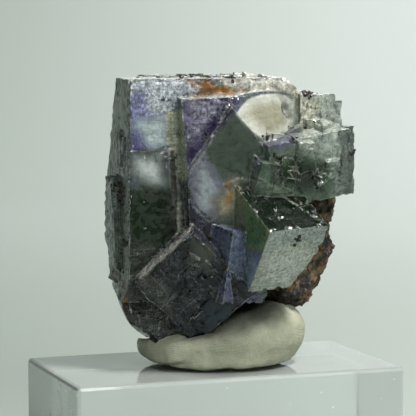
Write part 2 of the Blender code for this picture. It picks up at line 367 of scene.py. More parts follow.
# Lines seen on the front, as runs of points across and up, in millimetres: pale ridges and worn edges,
# dark cracks and gaps, and rusty iron stains
LINES = {
    "pale": (
        ((-4.9, 51.6), (-1.5, 52.0), (2.9, 51.9), (7.0, 52.6), (13.0, 52.9)),
        ((3.3, 50.3), (9.5, 42.2), (9.9, 37.9)),
        ((-7.0, 49.5), (-6.4, 42.0), (-5.4, 34.0), (-5.4, 26.0)),
        ((-4.6, 36.6), (-1.5, 41.0), (2.6, 49.4)),
        ((-3.9, 30.2), (-0.8, 27.2), (1.7, 29.4), (5.9, 33.4)),
        ((2.0, 34.6), (5.2, 35.8), (9.0, 34.9)),
        ((-16.8, 40.6), (-12.6, 40.8), (-9.0, 40.0)),
        ((-16.2, 47.0), (-12.4, 41.1), (-8.0, 41.0), (-8.8, 48.4)),
        ((-19.0, 51.5), (-11.5, 49.0), (-8.6, 50.2), (-3.0, 51.0)),
        ((8.4, 35.9), (13.0, 33.6), (19.0, 29.4)),
        ((9.7, 35.4), (14.6, 31.4), (20.6, 27.4)),
        ((11.0, 25.6), (7.9, 14.2), (13.6, 12.0)),
        ((-15.6, 15.4), (-10.0, 20.4), (-4.6, 25.2)),
        ((16.0, 51.0), (18.5, 46.0), (17.0, 42.0), (21.5, 40.4)),
        ((19.8, 49.4), (22.0, 45.6), (26.0, 44.8)),
        ((10.0, 39.6), (15.6, 40.9), (22.6, 39.4)),
    ),
    "dark": (
        ((-6.6, 40.2), (-0.6, 39.2), (3.6, 37.0), (9.4, 35.2)),
        ((-7.6, 41.0), (-7.3, 33.0), (-7.4, 24.0)),
        ((-19.2, 40.0), (-18.4, 33.6), (-17.9, 24.0), (-17.3, 12.4)),
        ((-16.4, 41.3), (-8.9, 40.9)),
        ((-16.4, 17.0), (-12.2, 21.2), (-6.6, 24.4)),
        ((0.9, 22.6), (2.8, 17.0), (6.5, 12.0)),
        ((-9.8, 51.0), (-7.4, 50.1), (-4.0, 51.9)),
        ((16.2, 41.2), (12.4, 39.6), (9.6, 40.2)),
        ((3.4, 24.6), (0.6, 26.6), (-3.8, 30.6)),
        ((-13.6, 34.0), (-10.4, 30.4), (-8.2, 24.6)),
        ((24.2, 45.5), (24.4, 38.0), (23.6, 31.5)),
        ((17.0, 50.0), (20.4, 48.6), (21.0, 43.2)),
    ),
    "rust": (
        ((-5.2, 54.8), (-3.4, 53.0), (0.5, 52.5), (5.6, 52.6)),
        ((-3.8, 54.4), (-0.8, 53.0)),
        ((2.6, 34.8), (3.4, 32.8), (2.4, 30.6)),
        ((-17.4, 12.4), (-16.7, 11.2)),
        ((-18.9, 34.4), (-18.0, 33.0)),
    ),
}

FRONTAL = ((0.1, -1.0, 0.1), 0.6)
LEFTWARD = ((-1.0, -0.25, 0.0), 0.8)
TOPWARD = ((0.0, 0.0, 1.0), 0.8)

PANES = {
    "left_side": pane(
        ((-24, 56), (-14, 56), (-14, 6), (-24, 6)),
        (92, 100, 96), (118, 128, 122),
        reach=6, grain=0.6, frost=0.45, facing=LEFTWARD,
    ),
    "left_blue": pane(
        ((-23, 35), (-19.5, 35), (-19.3, 19), (-23, 19)),
        (146, 160, 162), (168, 182, 184),
        soft=0.8, grain=0.4, frost=0.3, facing=LEFTWARD,
    ),
    "left_green": pane(
        ((-19.8, 33), (-15.6, 33), (-15.6, 13), (-19.3, 13)),
        (70, 86, 70), (96, 112, 96),
        soft=0.8, grain=0.6, frost=0.3, facing=LEFTWARD,
    ),
    "sparkling_top": pane(
        ((-19.4, 56.5), (0.6, 56.5), (-1.2, 50.7), (-7.2, 49.2), (-8.8, 41.1), (-16.4, 46.5)),
        (180, 192, 212), (216, 224, 232),
        soft=0.6, wander=1.0, grain=0.6, frost=1.0, facing=FRONTAL,
    ),
    "violet_edge": pane(
        ((-18.4, 51.5), (-13.4, 52.6), (-11.0, 48.0), (-14.5, 41.0), (-18.4, 40.0)),
        (110, 104, 178), (128, 128, 186),
        soft=1.5, wander=2.6, grain=0.6, frost=0.5, share=0.75, facing=FRONTAL,
    ),
    "step_window": pane(
        ((-16.0, 46.9), (-8.8, 48.6), (-7.6, 41.3), (-12.4, 41.0)),
        (150, 160, 180), (204, 219, 219),
        reach=2.0, soft=0.3, wander=0.4, grain=0.25, facing=FRONTAL,
    ),
    "grey_triangle": pane(
        ((-16.4, 41.1), (-9.3, 41.1), (-8.4, 33.4), (-12.2, 33.4), (-16.0, 36.3)),
        (108, 116, 112), (236, 244, 242),
        reach=3.4, soft=0.5, wander=0.7, grain=0.15, facing=FRONTAL,
    ),
    "green_rectangle": pane(
        ((-17.8, 34.0), (-7.0, 34.0), (-6.9, 21.9), (-17.5, 21.5)),
        (44, 54, 40), (24, 40, 20),
        reach=3.0, soft=1.2, wander=0.8, grain=0.2, facing=FRONTAL,
    ),
    "brown_low": pane(
        ((-18.5, 22.5), (-5.5, 22.8), (-8.3, 13.1), (-16.9, 8.2)),
        (54, 58, 42), (36, 40, 30),
        soft=1.4, wander=1.2, grain=0.4, frost=0.2, facing=FRONTAL,
    ),
    "beige_strip": pane(
        ((-9.4, 48.8), (-6.2, 49.0), (-5.2, 37.7), (-5.6, 23.0), (-7.4, 23.8)),
        (218, 216, 190), (188, 190, 166),
        reach=0.8, soft=0.25, wander=0.4, grain=0.6, frost=0.4,
    ),
    "dark_gap": pane(
        ((-8.6, 41.0), (-7.5, 41.0), (-6.9, 31.0), (-7.0, 23.4), (-8.0, 23.4)),
        (34, 32, 26), (26, 24, 20),
        reach=0.4, soft=0.25, wander=0.5, grain=0.5, share=0.9, facing=FRONTAL,
    ),
    "frosted": pane(
        ((-6.2, 51.9), (3.7, 52.2), (3.2, 49.6), (-4.9, 37.3)),
        (92, 84, 118), (122, 118, 140),
        soft=0.5, wander=0.8, grain=0.75, frost=1.0, facing=FRONTAL,
    ),
    "dark_pane": pane(
        ((3.5, 48.8), (9.6, 41.9), (9.3, 38.3), (4.5, 34.0), (2.2, 34.4), (-2.0, 40.8)),
        (82, 92, 80), (66, 80, 66),
        soft=0.5, wander=0.5, grain=0.15, facing=FRONTAL,
    ),
    "green_right": pane(
        ((9.6, 41.9), (12.6, 41.0), (14.0, 33.0), (5.5, 32.0), (4.5, 34.0), (9.3, 38.3)),
        (58, 74, 56), (84, 98, 78),
        soft=0.9, wander=1.0, grain=0.5, frost=0.2, facing=FRONTAL,
    ),
    "purple_band": pane(
        ((-4.9, 36.6), (-5.9, 40.2), (2.2, 50.9), (5.0, 51.6), (3.9, 48.2), (-2.9, 40.4)),
        (48, 38, 74), (36, 20, 64),
        reach=0.9, soft=0.9, wander=1.0, grain=0.6, frost=0.45, facing=FRONTAL,
    ),
    "white_pane": pane(
        ((-2.0, 41.0), (2.2, 34.4), (4.5, 33.4), (-1.0, 27.4), (-4.0, 29.6), (-4.6, 35.4), (-3.6, 39.2)),
        (112, 110, 130), (176, 184, 190),
        reach=3.0, soft=0.6, wander=0.7, grain=0.15, facing=FRONTAL,
    ),
    "beige_pane": pane(
        ((3.6, 36.2), (6.2, 33.8), (6.0, 28.8), (1.4, 28.0), (-0.6, 31.0)),
        (120, 114, 98), (164, 158, 128),
        reach=2.5, soft=1.2, wander=0.9, grain=0.25, frost=0.1,
    ),
    "deep_purple": pane(
        ((-6.9, 36.0), (-4.6, 34.4), (-3.6, 29.4), (1.7, 26.8), (3.5, 24.8), (1.6, 21.9), (-6.0, 22.6)),
        (34, 26, 58), (22, 18, 40),
        soft=0.8, wander=0.9, grain=0.55, frost=0.4,
    ),
    "cream_window": pane(
        (
            (4.2, 48.0), (6.3, 50.7), (9.0, 51.8), (12.4, 52.0), (14.5, 51.1), (15.9, 49.4), (16.2, 47.3),
            (15.2, 44.9), (13.1, 43.5), (10.7, 41.9), (8.3, 44.0), (5.6, 46.4),
        ),
        (240, 242, 230), (180, 178, 154),
        reach=3.0, soft=0.25, wander=0.25, grain=0.08, wear=0.9, facing=FRONTAL,
    ),
    "cream_band": pane(
        ((0.4, 56.2), (17.5, 56.2), (16.2, 52.2), (6.7, 52.6), (3.4, 52.0)),
        (250, 244, 222), (250, 247, 234),
        reach=1.2, soft=0.5, wander=0.9, grain=0.5, frost=0.35, wear=1.0,
    ),
    "green_lobe": pane(
        ((9.0, 40.6), (16.5, 42.1), (23.6, 40.2), (23.4, 30.0), (16.6, 31.3), (9.4, 33.0)),
        (116, 138, 114), (26, 44, 24),
        reach=4.0, soft=1.2, wander=1.4, grain=0.25, frost=0.05,
    ),
    "grey_shoulder": pane(
        (
            (15.5, 54.5), (22.2, 53.4), (29.0, 48.4), (29.3, 30.5), (24.1, 28.6), (22.9, 39.2),
            (15.6, 41.1),
        ),
        (156, 168, 156), (196, 206, 194),
        soft=1.2, wander=1.6, grain=0.4, frost=0.4, wear=0.8,
    ),
    "blocky_steps": pane(
        ((24.0, 46.8), (28.6, 46.8), (28.6, 30.0), (23.6, 30.0)),
        (140, 150, 140), (110, 120, 112),
        soft=0.8, wander=1.0, grain=0.4, frost=0.3,
    ),
    "white_shoulder": pane(
        ((15.2, 53.2), (18.8, 53.0), (20.0, 49.0), (18.8, 45.4), (16.2, 45.6)),
        (206, 206, 180), (244, 242, 220),
        reach=2.0, soft=1.2, wander=2.0, grain=0.5, frost=0.5, wear=0.9,
    ),
    # Pale tops, partly real frost and partly painted light: every upward face, seen or not, is made pale as
    # if lit from above.
    "snowy_top": pane(
        ((-30, 62), (32, 62), (32, 49.5), (-30, 49.5)),
        (206, 210, 204), (236, 240, 236),
        soft=1.0, wander=2.0, grain=0.5, frost=0.7, wear=1.0, share=0.85, facing=TOPWARD, behind=True,
    ),
    "iron_line": pane(
        (
            (-2.6, 55.2), (-0.6, 55.2), (0.6, 53.4), (4.8, 52.6), (4.0, 51.5), (-0.4, 51.8), (-4.8, 50.8),
            (-1.6, 52.8),
        ),
        (120, 100, 62), (176, 118, 40),
        reach=0.7, soft=0.6, wander=1.8, grain=0.8, frost=0.2, share=0.85,
    ),
    "top_of_low_cube": pane(
        ((3.0, 37.2), (9.3, 38.0), (20.0, 35.0), (25.0, 28.8), (24.0, 22.0), (8.8, 22.0)),
        (30, 52, 26), (8, 24, 8),
        reach=2.2, soft=0.3, wander=0.3, grain=0.5, frost=0.12, wear=0.6, on=("right_low",),
        facing=((-0.1, -0.5, 0.85), 0.8),
    ),
    "side_of_low_cube": pane(
        ((2.0, 37.2), (11.5, 30.0), (12.2, 8.0), (2.0, 10.0)),
        (178, 172, 142), (136, 144, 116),
        reach=2.5, soft=0.4, wander=0.5, grain=0.2, frost=0.15, on=("right_low",),
        facing=((-0.83, -0.54, 0.0), 0.7),
    ),
    "green_of_low_cube": pane(
        ((5.8, 31.4), (10.8, 26.4), (9.6, 21.6), (6.0, 22.8)),
        (124, 150, 112), (92, 130, 84),
        reach=1.5, soft=0.9, wander=0.6, grain=0.25, on=("right_low",), facing=((-0.83, -0.54, 0.0), 0.7),
    ),
    "blue_of_low_cube": pane(
        ((2.0, 22.5), (11.2, 21.0), (11.2, 6.0), (2.0, 8.0)),
        (104, 112, 150), (140, 160, 182),
        reach=2.5, soft=1.4, wander=0.8, grain=0.25, on=("right_low",), facing=((-0.83, -0.54, 0.0), 0.7),
    ),
    "pale_face": pane(
        ((6.8, 29.0), (26.2, 29.0), (24.9, 14.5), (14.3, 6.9), (5.3, 6.8)),
        (190, 190, 164), (176, 188, 180),
        reach=4.0, soft=0.3, wander=0.3, grain=0.5, frost=0.3, wear=1.0, on=("right_low",),
        facing=((0.46, -0.71, -0.54), 0.75),
    ),
    "bright_of_pale_face": pane(
        ((9.6, 21.6), (17.0, 23.2), (21.4, 21.4), (14.6, 14.8), (8.8, 15.2)),
        (206, 208, 188), (226, 230, 218),
        reach=2.0, soft=1.4, wander=2.2, grain=0.4, frost=0.4, wear=1.0, share=0.8, on=("right_low",),
        facing=((0.46, -0.71, -0.54), 0.75),
    ),
    "violet_side": pane(
        ((-2.5, 28.1), (8.6, 28.3), (8.6, 11.1), (6.2, 8.2), (-0.3, 15.0)),
        (92, 86, 130), (96, 106, 132),
        soft=0.8, wander=0.8, grain=0.5, frost=0.25, on=("violet",),
    ),
    "foot_face": pane(
        ((-4.2, 29.0), (10.0, 13.2), (-2.6, 0.2), (-21.5, 16.4)),
        (46, 46, 62), (14, 19, 25),
        reach=4, soft=0.6, wander=0.6, grain=0.6, frost=0.35, wear=0.1, on=("foot",),
    ),
    "foot_pane": pane(
        ((-4.6, 24.6), (0.4, 22.6), (-0.7, 17.6), (-4.9, 19.5)),
        (60, 62, 60), (74, 76, 68),
        reach=1.8, soft=0.5, wander=0.5, grain=0.15, on=("foot",),
    ),
    "foot_ellipse": pane(
        ((-3.2, 11.0), (0.2, 12.6), (3.6, 11.4), (4.4, 8.2), (1.6, 5.6), (-2.4, 6.6)),
        (34, 42, 46), (48, 60, 70),
        soft=0.9, wander=0.4, grain=0.12, wear=0.0, on=("foot",),
    ),
    "foot_crust": pane(
        ((-18.0, 17.4), (-4.2, 27.2), (-4.4, 25.4), (-15.6, 14.4)),
        (206, 204, 188), (152, 148, 150),
        reach=0.8, soft=0.5, wander=1.2, grain=0.8, frost=0.8, share=0.8, on=("foot",),
    ),
    "left_foot": pane(
        ((-20.0, 18.4), (-10.0, 16.0), (-6.0, 3.0), (-19.0, 3.0)),
        (72, 72, 66), (46, 46, 44),
        soft=0.8, wander=1.0, grain=0.75, frost=0.4, wear=0.5,
    ),
}


def solid_of(node):
    """An editor with a copy of the solid's mesh in the specimen's frame, its triangles welded."""
    editor = bmesh.new()
    editor.from_mesh(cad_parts[node].data)
    editor.transform(SPECIMEN_PLACE.inverted())
    bmesh.ops.remove_doubles(editor, verts=editor.verts, dist=WELD_GAP)
    return editor


def crystal_groundwork(settings):
    """The crystals' solid, its coplanar triangles joined, and points along its sharp edges."""
    editor = solid_of("fluorite_cluster")
    bmesh.ops.dissolve_limit(
        editor, angle_limit=math.radians(0.6), verts=editor.verts, edges=editor.edges, delimit={"NORMAL"}
    )
    frames = crystal_frames()
    host = editor.faces.layers.int.new("host")
    for face in editor.faces:
        face[host] = host_of(face, frames)
    points = []
    for edge in editor.edges:
        if edge.calc_face_angle(0) > math.radians(14):
            first, last = (vert.co for vert in edge.verts)
            count = max(1, int(edge.calc_length() / settings.edge_sampling))
            points += [first.lerp(last, step / count) for step in range(count + 1)]
    return editor, points


def refine(editor, longest, front_longest=None, passes=9):
    """Splits the faces until no edge is longer than longest, or on the front than front_longest."""
    bmesh.ops.triangulate(editor, faces=editor.faces, ngon_method="BEAUTY")
    for number in range(passes):
        long_edges = [edge for edge in editor.edges if edge.calc_length() > longest]
        if front_longest:
            editor.normal_update()
            long_edges += [
                edge for edge in editor.edges
                if front_longest < edge.calc_length() <= longest
                and any(face.normal.y < -0.3 for face in edge.link_faces)
            ]
        if not long_edges:
            break
        bmesh.ops.subdivide_edges(editor, edges=long_edges, cuts=1)
        bmesh.ops.triangulate(editor, faces=[face for face in editor.faces if len(face.verts) > 3])
        if number < 5:
            flat = [edge for edge in editor.edges if edge.calc_face_angle(1) < math.radians(1)]
            bmesh.ops.beautify_fill(editor, faces=editor.faces, edges=flat)


def nearest_distances(points, places):
    tree = KDTree(len(points))
    for number, point in enumerate(points):
        tree.insert(point, number)
    tree.balance()
    return [tree.find(place)[2] for place in places]


def wear(editor, edge_points, settings):
    """Lets the faces undulate a little, pits them and chips their edges, mostly inwards."""
    gaps = nearest_distances(edge_points, [vert.co for vert in editor.verts])
    moves = []
    for vert, gap in zip(editor.verts, gaps):
        place = vert.co
        swell = 0.6 * noise.noise(place * 0.35) + 0.4 * noise.noise(place * 1.1)
        pits = max(0.0, noise.noise(place * 0.8 + Vector((31, 7, 3))) - 0.22)
        near_edge = max(0.0, 1 - gap / settings.chip_reach)
        chips = max(0.0, noise.noise(place * 0.7 + Vector((5, 17, 41))) + 0.12) * near_edge
        depth = settings.undulation * (swell - 0.4) - settings.pit_depth * pits - settings.chip_depth * chips
        moves.append(vert.normal * depth)
    for vert, move in zip(editor.verts, moves):
        vert.co += move
    return gaps


def slope_corner(vert):
    """Slopes the largest crystal's top right corner."""
    proud = (vert.co - CORNER_SPOT).dot(CORNER_SLOPE)
    share = min(1.0, max(0.0, (vert.co.z - 51.9) / 0.8))
    if proud > 0:
        vert.co -= CORNER_SLOPE * proud * share


def round_foot(vert):
    """Swells the lowest crystal on the left at mid height and draws it in at its foot."""
    share = min(1.0, max(0.0, (-10.0 - vert.co.x) / 4.5))
    vert.co.x += share * float(np.interp(vert.co.z, *zip(*FOOT_PROFILE)))


def beside_stretch(points, start, end):
    """How far each point is from a straight stretch."""
    along = end - start
    share = np.clip((points - start) @ along / (along @ along), 0, 1)
    return np.linalg.norm(points - start - share[:, None] * along, axis=1)


def inside_outline(points, outline):
    """How far inside the outline each point is, and below nothing outside it."""
    corners = np.array(outline)
    ends = np.roll(corners, -1, axis=0)
    nearest = np.full(len(points), np.inf)
    inside = np.zeros(len(points), bool)
    for start, end in zip(corners, ends):
        nearest = np.minimum(nearest, beside_stretch(points, start, end))
        straddles = (start[1] > points[:, 1]) != (end[1] > points[:, 1])
        rise = end[1] - start[1] or 1e-9
        crossing = start[0] + (points[:, 1] - start[1]) * (end[0] - start[0]) / rise
        inside ^= straddles & (points[:, 0] < crossing)
    return np.where(inside, nearest, -nearest)


def beside_lines(points, lines):
    """How far each point is from the nearest of the lines."""
    nearest = np.full(len(points), FAR)
    for line in lines:
        corners = np.array(line)
        for start, end in zip(corners, corners[1:]):
            nearest = np.minimum(nearest, beside_stretch(points, start, end))
    return nearest


def note_panes(mesh, places, gaps):
    """Notes how far each face corner is inside each pane and from the lines, and maps the growth."""
    corner_count = len(mesh.loops)
    verts = np.empty(corner_count, np.int64)
    mesh.loops.foreach_get("vertex_index", verts)
    normals = np.empty(len(mesh.polygons) * 3)
    mesh.polygons.foreach_get("normal", normals)
    hosts = np.empty(len(mesh.polygons), np.int32)
    mesh.attributes["host"].data.foreach_get("value", hosts)
    to_specimen = np.array(SPECIMEN_PLACE.inverted().to_3x3().normalized())
    normals = np.repeat(normals.reshape(-1, 3) @ to_specimen.T, 3, axis=0)
    hosts = np.repeat(hosts, 3)
    spot = np.array(CAMERA_SPOT)
    reach = spot[1] / (spot[1] - places[:, 1])
    seen = spot + (places - spot) * reach[:, None]
    seen = seen[verts][:, [0, 2]]
    towards = spot - places[verts]
    in_front = (normals * towards).sum(1) > 0.02 * np.linalg.norm(towards, axis=1)
    names = list(CRYSTALS)
    for name, about in PANES.items():
        depth = inside_outline(seen, about["outline"])
        carries = in_front | about.get("behind", False)
        if "facing" in about:
            direction, least = about["facing"]
            carries = carries & (normals @ (np.array(direction) / np.linalg.norm(direction)) > least)
        if "on" in about:
            carries = carries & np.isin(hosts // 3, [names.index(crystal) for crystal in about["on"]])
        noted = mesh.attributes.new(f"pane_{name}", "FLOAT", "CORNER")
        noted.data.foreach_set("value", np.where(carries, depth, -FAR).astype(np.float32))
    for name, lines in LINES.items():
        noted = mesh.attributes.new(f"{name}_lines", "FLOAT", "CORNER")
        gap = np.where(in_front, beside_lines(seen, lines), FAR)
        noted.data.foreach_set("value", gap.astype(np.float32))
    noted = mesh.attributes.new("edge_gap", "FLOAT", "POINT")
    noted.data.foreach_set("value", np.array(gaps, np.float32))

    axes = np.array([np.array(axes).T for axes, middle, half in crystal_frames()])
    owner, side = hosts // 3, hosts % 3
    across = (axes[owner, (side + 1) % 3] * places[verts]).sum(1) + 37.7 * owner
    up = (axes[owner, (side + 2) % 3] * places[verts]).sum(1) + 11.3 * side
    growth = mesh.uv_layers.new(name="growth")
    growth.data.foreach_set("uv", np.stack([across, up], 1).astype(np.float32).ravel())


def fluorite_material(settings):
    made, sheet, shader, place = new_material("fluorite")
    growth = sheet.add("ShaderNodeUVMap", uv_map="growth").outputs[0]
    edge_gap = sheet.read("edge_gap")

    def lined(across, up, detail=3.0):
        stretched = sheet.add("ShaderNodeMapping", {"Vector": growth, "Scale": (across, up, 1)}).outputs[0]
        return sheet.noise(stretched, 1.0, detail=detail)

    broad = sheet.noise(place, 0.11, detail=3)
    middling = sheet.noise(place, 0.45, detail=4)
    fine = sheet.noise(place, 1.6, detail=4, roughness=0.62)
    micro = sheet.noise(place, 4.2, detail=2)
    lines_up = lined(2.4, 0.10)
    lines_across = lined(0.10, 2.4)
    lines = sheet.math("MAXIMUM", lines_up, lines_across)
    wander = sheet.math("SUBTRACT", sheet.noise(place, 0.3, detail=5, roughness=0.62), 0.5)
    texture = sheet.plus(sheet.times(fine, 0.5), sheet.times(micro, 0.25))
    texture = sheet.step(sheet.plus(texture, sheet.times(lines, 0.3)), 0.42, 0.66)

    body = sheet.group(
        "Mottle",
        {
            "Place": place, "Per mm": 0.085, "Low": 0.38, "High": 0.62,
            "First": display(*settings.deep_green), "Second": display(*settings.grey_veil),
        },
    )
    colour = sheet.mix(sheet.step(fine, 0.45, 0.75, 0, 0.4), body["Colour"], display(124, 134, 128))
    zoned = sheet.times(sheet.step(edge_gap, 3.4, 0.5), sheet.step(broad, 0.42, 0.62))
    colour = sheet.mix(sheet.times(zoned, 0.7), colour, display(*settings.violet))
    dull = sheet.step(sheet.noise(place, 0.16, detail=2), 0.45, 0.62, 0.1, 0.7)
    finish = sheet.add("ShaderNodeCombineXYZ", {"X": dull, "Y": 0.6}).outputs[0]

    for name, about in PANES.items():
        result = sheet.group(
            "Pane",
            {
                "Under": colour, "Under Finish": finish, "Depth Inside": sheet.read(f"pane_{name}"),
                "Wander": sheet.times(wander, 2 * about["wander"]), "Softness": about["soft"],
                "Rim": display(*about["rim"]), "Core": display(*about["core"]), "Reach": about["reach"],
                "Texture": texture, "Grain": about["grain"], "Finish": (about["frost"], about["wear"], 0.0),
                "Share": about["share"],
            },
        )
        colour, finish = result["Colour"], result["Finish"]
    finish = sheet.add("ShaderNodeSeparateXYZ", {"Vector": finish}).outputs
    frost, edge_wear_and_highlight_share = finish[0], finish[1]

    patchy = sheet.step(middling, 0.4, 0.6)
    veins = sheet.group("Hairlines", {"Place": place, "Per mm": 1.1, "Width": 0.09, "Bend": 1.4})["Mask"]
    etched = sheet.math("MAXIMUM", veins, sheet.step(micro, 0.54, 0.66))
    etched = sheet.times(sheet.times(etched, frost), sheet.step(middling, 0.44, 0.58))
    colour = sheet.mix(sheet.times(etched, 0.5), colour, display(196, 200, 212))
    ruled = sheet.times(sheet.step(lines, 0.6, 0.68), sheet.times(frost, patchy))
    colour = sheet.mix(sheet.times(ruled, 0.35), colour, display(196, 200, 206))

    cracks = sheet.group("Hairlines", {"Place": place, "Per mm": 0.16, "Width": 0.008, "Bend": 2.6})["Mask"]
    cracks = sheet.times(cracks, sheet.step(frost, 0.05, 0.3))
    colour = sheet.mix(sheet.times(cracks, 0.55), colour, display(30, 30, 26))

    strayed = sheet.times(sheet.math("SUBTRACT", fine, 0.5), 1.6)
    for name, width, shade, strength in (
        ("dark", 0.40, (24, 24, 20), 0.75),
        ("pale", 0.26, (200, 200, 184), 0.45),
        ("rust", 0.8, (160, 104, 36), 0.75),
    ):
        gap = sheet.math("ABSOLUTE", sheet.plus(sheet.read(f"{name}_lines"), strayed))
        mark = sheet.times(sheet.step(gap, width, 0.05), sheet.step(middling, 0.38, 0.52))
        colour = sheet.mix(sheet.times(mark, strength), colour, display(*shade))

    # Pale edges: partly real wear, partly a painted highlight along the edges.
    worn_edges_and_painted_highlight = sheet.times(sheet.step(edge_gap, 0.26, 0.02), sheet.step(fine, 0.38, 0.56))
    colour = sheet.mix(sheet.times(worn_edges_and_painted_highlight, edge_wear_and_highlight_share), colour, display(206, 208, 194))
    grime = sheet.times(sheet.step(edge_gap, 0.9, 0.1), sheet.step(fine, 0.58, 0.68))
    colour = sheet.mix(sheet.times(grime, 0.5), colour, display(30, 28, 22))

    # Painted highlights: small white glints in the base colour of the frosted faces, standing in for light
    # sparkling on tiny facets.
    large = sheet.group("Painted Glints And Dust", {"Place": place, "Per mm": 0.95, "Share": 0.22, "Radius": 0.22})["Mask"]
    small = sheet.group("Painted Glints And Dust", {"Place": place, "Per mm": 3.0, "Share": 0.3, "Radius": 0.34})["Mask"]
    painted_glints = sheet.math("MAXIMUM", large, small)
    painted_glints = sheet.times(painted_glints, sheet.times(patchy, frost))
    colour = sheet.mix(painted_glints, colour, display(246, 248, 252))

    coarse = sheet.group("Facets", {"Place": place, "Per mm": 0.55, "Tilt": 0.22})
    sparkle = sheet.group("Facets", {"Place": place, "Per mm": 1.9, "Tilt": 0.75})
    terraces = sheet.math("SNAP", lined(0.5, 0.03, 1.0), 0.05)
    terraces = sheet.plus(terraces, sheet.math("SNAP", lined(0.03, 0.5, 1.0), 0.05))
    relief = sheet.times(sheet.times(sparkle["Height"], frost), patchy)
    relief = sheet.plus(relief, sheet.times(coarse["Height"], sheet.step(broad, 0.4, 0.6)))
    relief = sheet.plus(relief, sheet.times(terraces, 0.5))
    relief = sheet.plus(relief, sheet.times(fine, 0.035))
    relief = sheet.plus(relief, sheet.times(middling, 0.11))
    relief = sheet.math("SUBTRACT", relief, sheet.times(cracks, 0.08))

    roughness = sheet.plus(sheet.times(frost, 0.22), sheet.step(fine, 0.3, 0.8, 0.03, 0.16))
    dress(sheet, shader, colour, roughness, relief)
    shader.inputs["Transmission Weight"].default_value = settings.clearness
    shader.inputs["IOR"].default_value = 1.434
    absorption = sheet.add("ShaderNodeVolumeAbsorption")
    absorption.inputs["Color"].default_value = (0.55, 0.68, 0.6, 1)
    absorption.inputs["Density"].default_value = settings.absorption
    output = made.node_tree.nodes["Material Output"]
    sheet.give(output.inputs["Volume"], absorption.outputs[0])
    return made


def rock_material():
    made, sheet, shader, place = new_material("matrix_rock")
    grain = sheet.noise(place, 0.9, detail=6, roughness=0.65)
    colour = sheet.group(
        "Mottle",
        {
            "Place": place, "Per mm": 0.3, "Low": 0.45, "High": 0.6,
            "First": display(30, 28, 24), "Second": display(116, 100, 70),
        },
    )["Colour"]
    rust = sheet.step(sheet.noise(place, 0.6, detail=5), 0.55, 0.63)
    colour = sheet.mix(sheet.times(rust, 0.85), colour, display(150, 98, 42))
    black = sheet.step(sheet.noise(place, 0.75, detail=3), 0.5, 0.4)
    colour = sheet.mix(sheet.times(black, 0.9), colour, display(20, 20, 19))
    pale = sheet.step(grain, 0.62, 0.7)
    colour = sheet.mix(sheet.times(pale, 0.6), colour, display(176, 164, 130))
    facets = sheet.group("Facets", {"Place": place, "Per mm": 1.3, "Tilt": 1.2})
    relief = sheet.plus(sheet.times(grain, 0.7), facets["Height"])
    dress(sheet, shader, colour, sheet.step(grain, 0.3, 0.7, 0.75, 0.4), relief, 0.9)
    return made


def speck_material():
    made, sheet, shader, place = new_material("black_specks")
    streak = sheet.noise(place, 3.0, detail=3)
    colour = sheet.mix(sheet.step(streak, 0.45, 0.7), display(16, 15, 14), display(52, 46, 38))
    dress(sheet, shader, colour, sheet.step(streak, 0.3, 0.7, 0.3, 0.6))
    return made


def putty_material():
    made, sheet, shader, place = new_material("putty")
    cloud = sheet.noise(place, 0.16, detail=4)
    fine = sheet.noise(place, 2.2, detail=4)
    colour = sheet.mix(sheet.step(cloud, 0.35, 0.7), display(158, 160, 138), display(178, 180, 158))
    colour = sheet.mix(sheet.step(fine, 0.5, 0.75, 0, 0.35), colour, display(122, 124, 104))
    tilted = sheet.add("ShaderNodeMapping", {"Vector": place, "Rotation": (0.5, 0.2, 0.3)}).outputs[0]
    ridges = sheet.add(
        "ShaderNodeTexWave",
        {"Vector": tilted, "Scale": 1.25, "Distortion": 3.2, "Detail": 2.0, "Detail Scale": 0.2},
        wave_type="RINGS", rings_direction="SPHERICAL",
    ).outputs["Fac"]
    printed = sheet.step(sheet.noise(place, 0.13, detail=1), 0.38, 0.5)
    lines = sheet.times(ridges, printed)
    colour = sheet.mix(sheet.times(lines, 0.10), colour, display(96, 98, 82))
    # Painted shadow: the putty is darkened where the crystals are close above it, as if in their cast shadow.
    painted_shadow = sheet.plus(sheet.read("painted_shadow_distance"), sheet.times(cloud, 3.0))
    colour = sheet.mix(sheet.step(painted_shadow, 9.0, 4.0, 0, 0.9), colour, display(70, 72, 60))
    relief = sheet.plus(sheet.times(lines, 0.05), sheet.times(fine, 0.09))
    dress(sheet, shader, colour, sheet.step(fine, 0.3, 0.7, 0.5, 0.7), relief, 0.9)
    return made


def acrylic_material():
    made, sheet, shader, place = new_material("acrylic_block")
    dust = sheet.group("Painted Glints And Dust", {"Place": place, "Per mm": 0.8, "Share": 0.22, "Radius": 0.16})["Mask"]
    wiped = sheet.noise(place, 0.08, detail=4)
    colour = sheet.mix(sheet.times(dust, 0.8), display(236, 243, 240), display(250, 250, 250))
    rough = sheet.plus(sheet.step(wiped, 0.4, 0.7, 0.04, 0.12), sheet.times(dust, 0.3))
    dress(sheet, shader, colour, rough, wiped, 0.1)
    shader.inputs["Transmission Weight"].default_value = 0.65
    shader.inputs["IOR"].default_value = 1.49
    return made


# The largest random turn of a grain about each axis, in radians
WHOLE_TURNS = (6.28, 6.28, 6.28)


